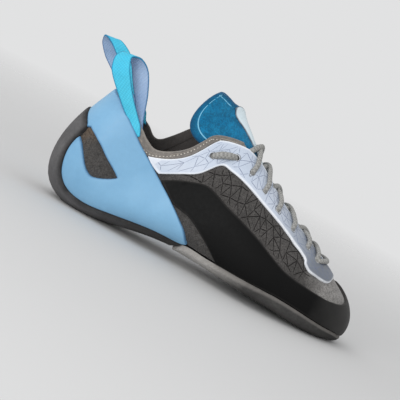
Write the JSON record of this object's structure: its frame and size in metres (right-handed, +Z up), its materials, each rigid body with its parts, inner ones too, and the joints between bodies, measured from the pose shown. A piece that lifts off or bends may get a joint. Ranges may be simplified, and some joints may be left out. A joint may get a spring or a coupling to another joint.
{
  "type": "climbing shoe",
  "caption": "Low laced climbing shoe for the right foot with a downturned rubber half sole, heel sling, toe wrap, padded tongue and webbing pull loops.",
  "frame": {"origin": "on the floor, at the middle of the heel's flat spot", "axes": "+X to the toe, +Z up, +Y to the inner side of the foot"},
  "size_m": [0.2475, 0.0841, 0.1177],
  "materials": {
    "microfibre": "matte",
    "suede": "matte",
    "pale_synthetic": "satin",
    "tongue_fabric": "matte",
    "board": "matte",
    "sole_rubber": "matte",
    "blue_rubber": "satin",
    "black_rubber": "satin",
    "lace_cord": "matte",
    "webbing": "satin"
  },
  "bodies": {
    "root": {"upper": "microfibre", "collar_binding": "suede", "eyestay": "pale_synthetic", "tongue": "tongue_fabric", "tongue_panel": "pale_synthetic", "insole": "board", "heel_strip": "sole_rubber", "heel_rand": "blue_rubber", "toe_rand": "black_rubber", "outsole": "sole_rubber", "laces": "lace_cord", "pull_loop_outer": "webbing", "pull_loop_inner": "webbing"}
  },
  "joints": []
}
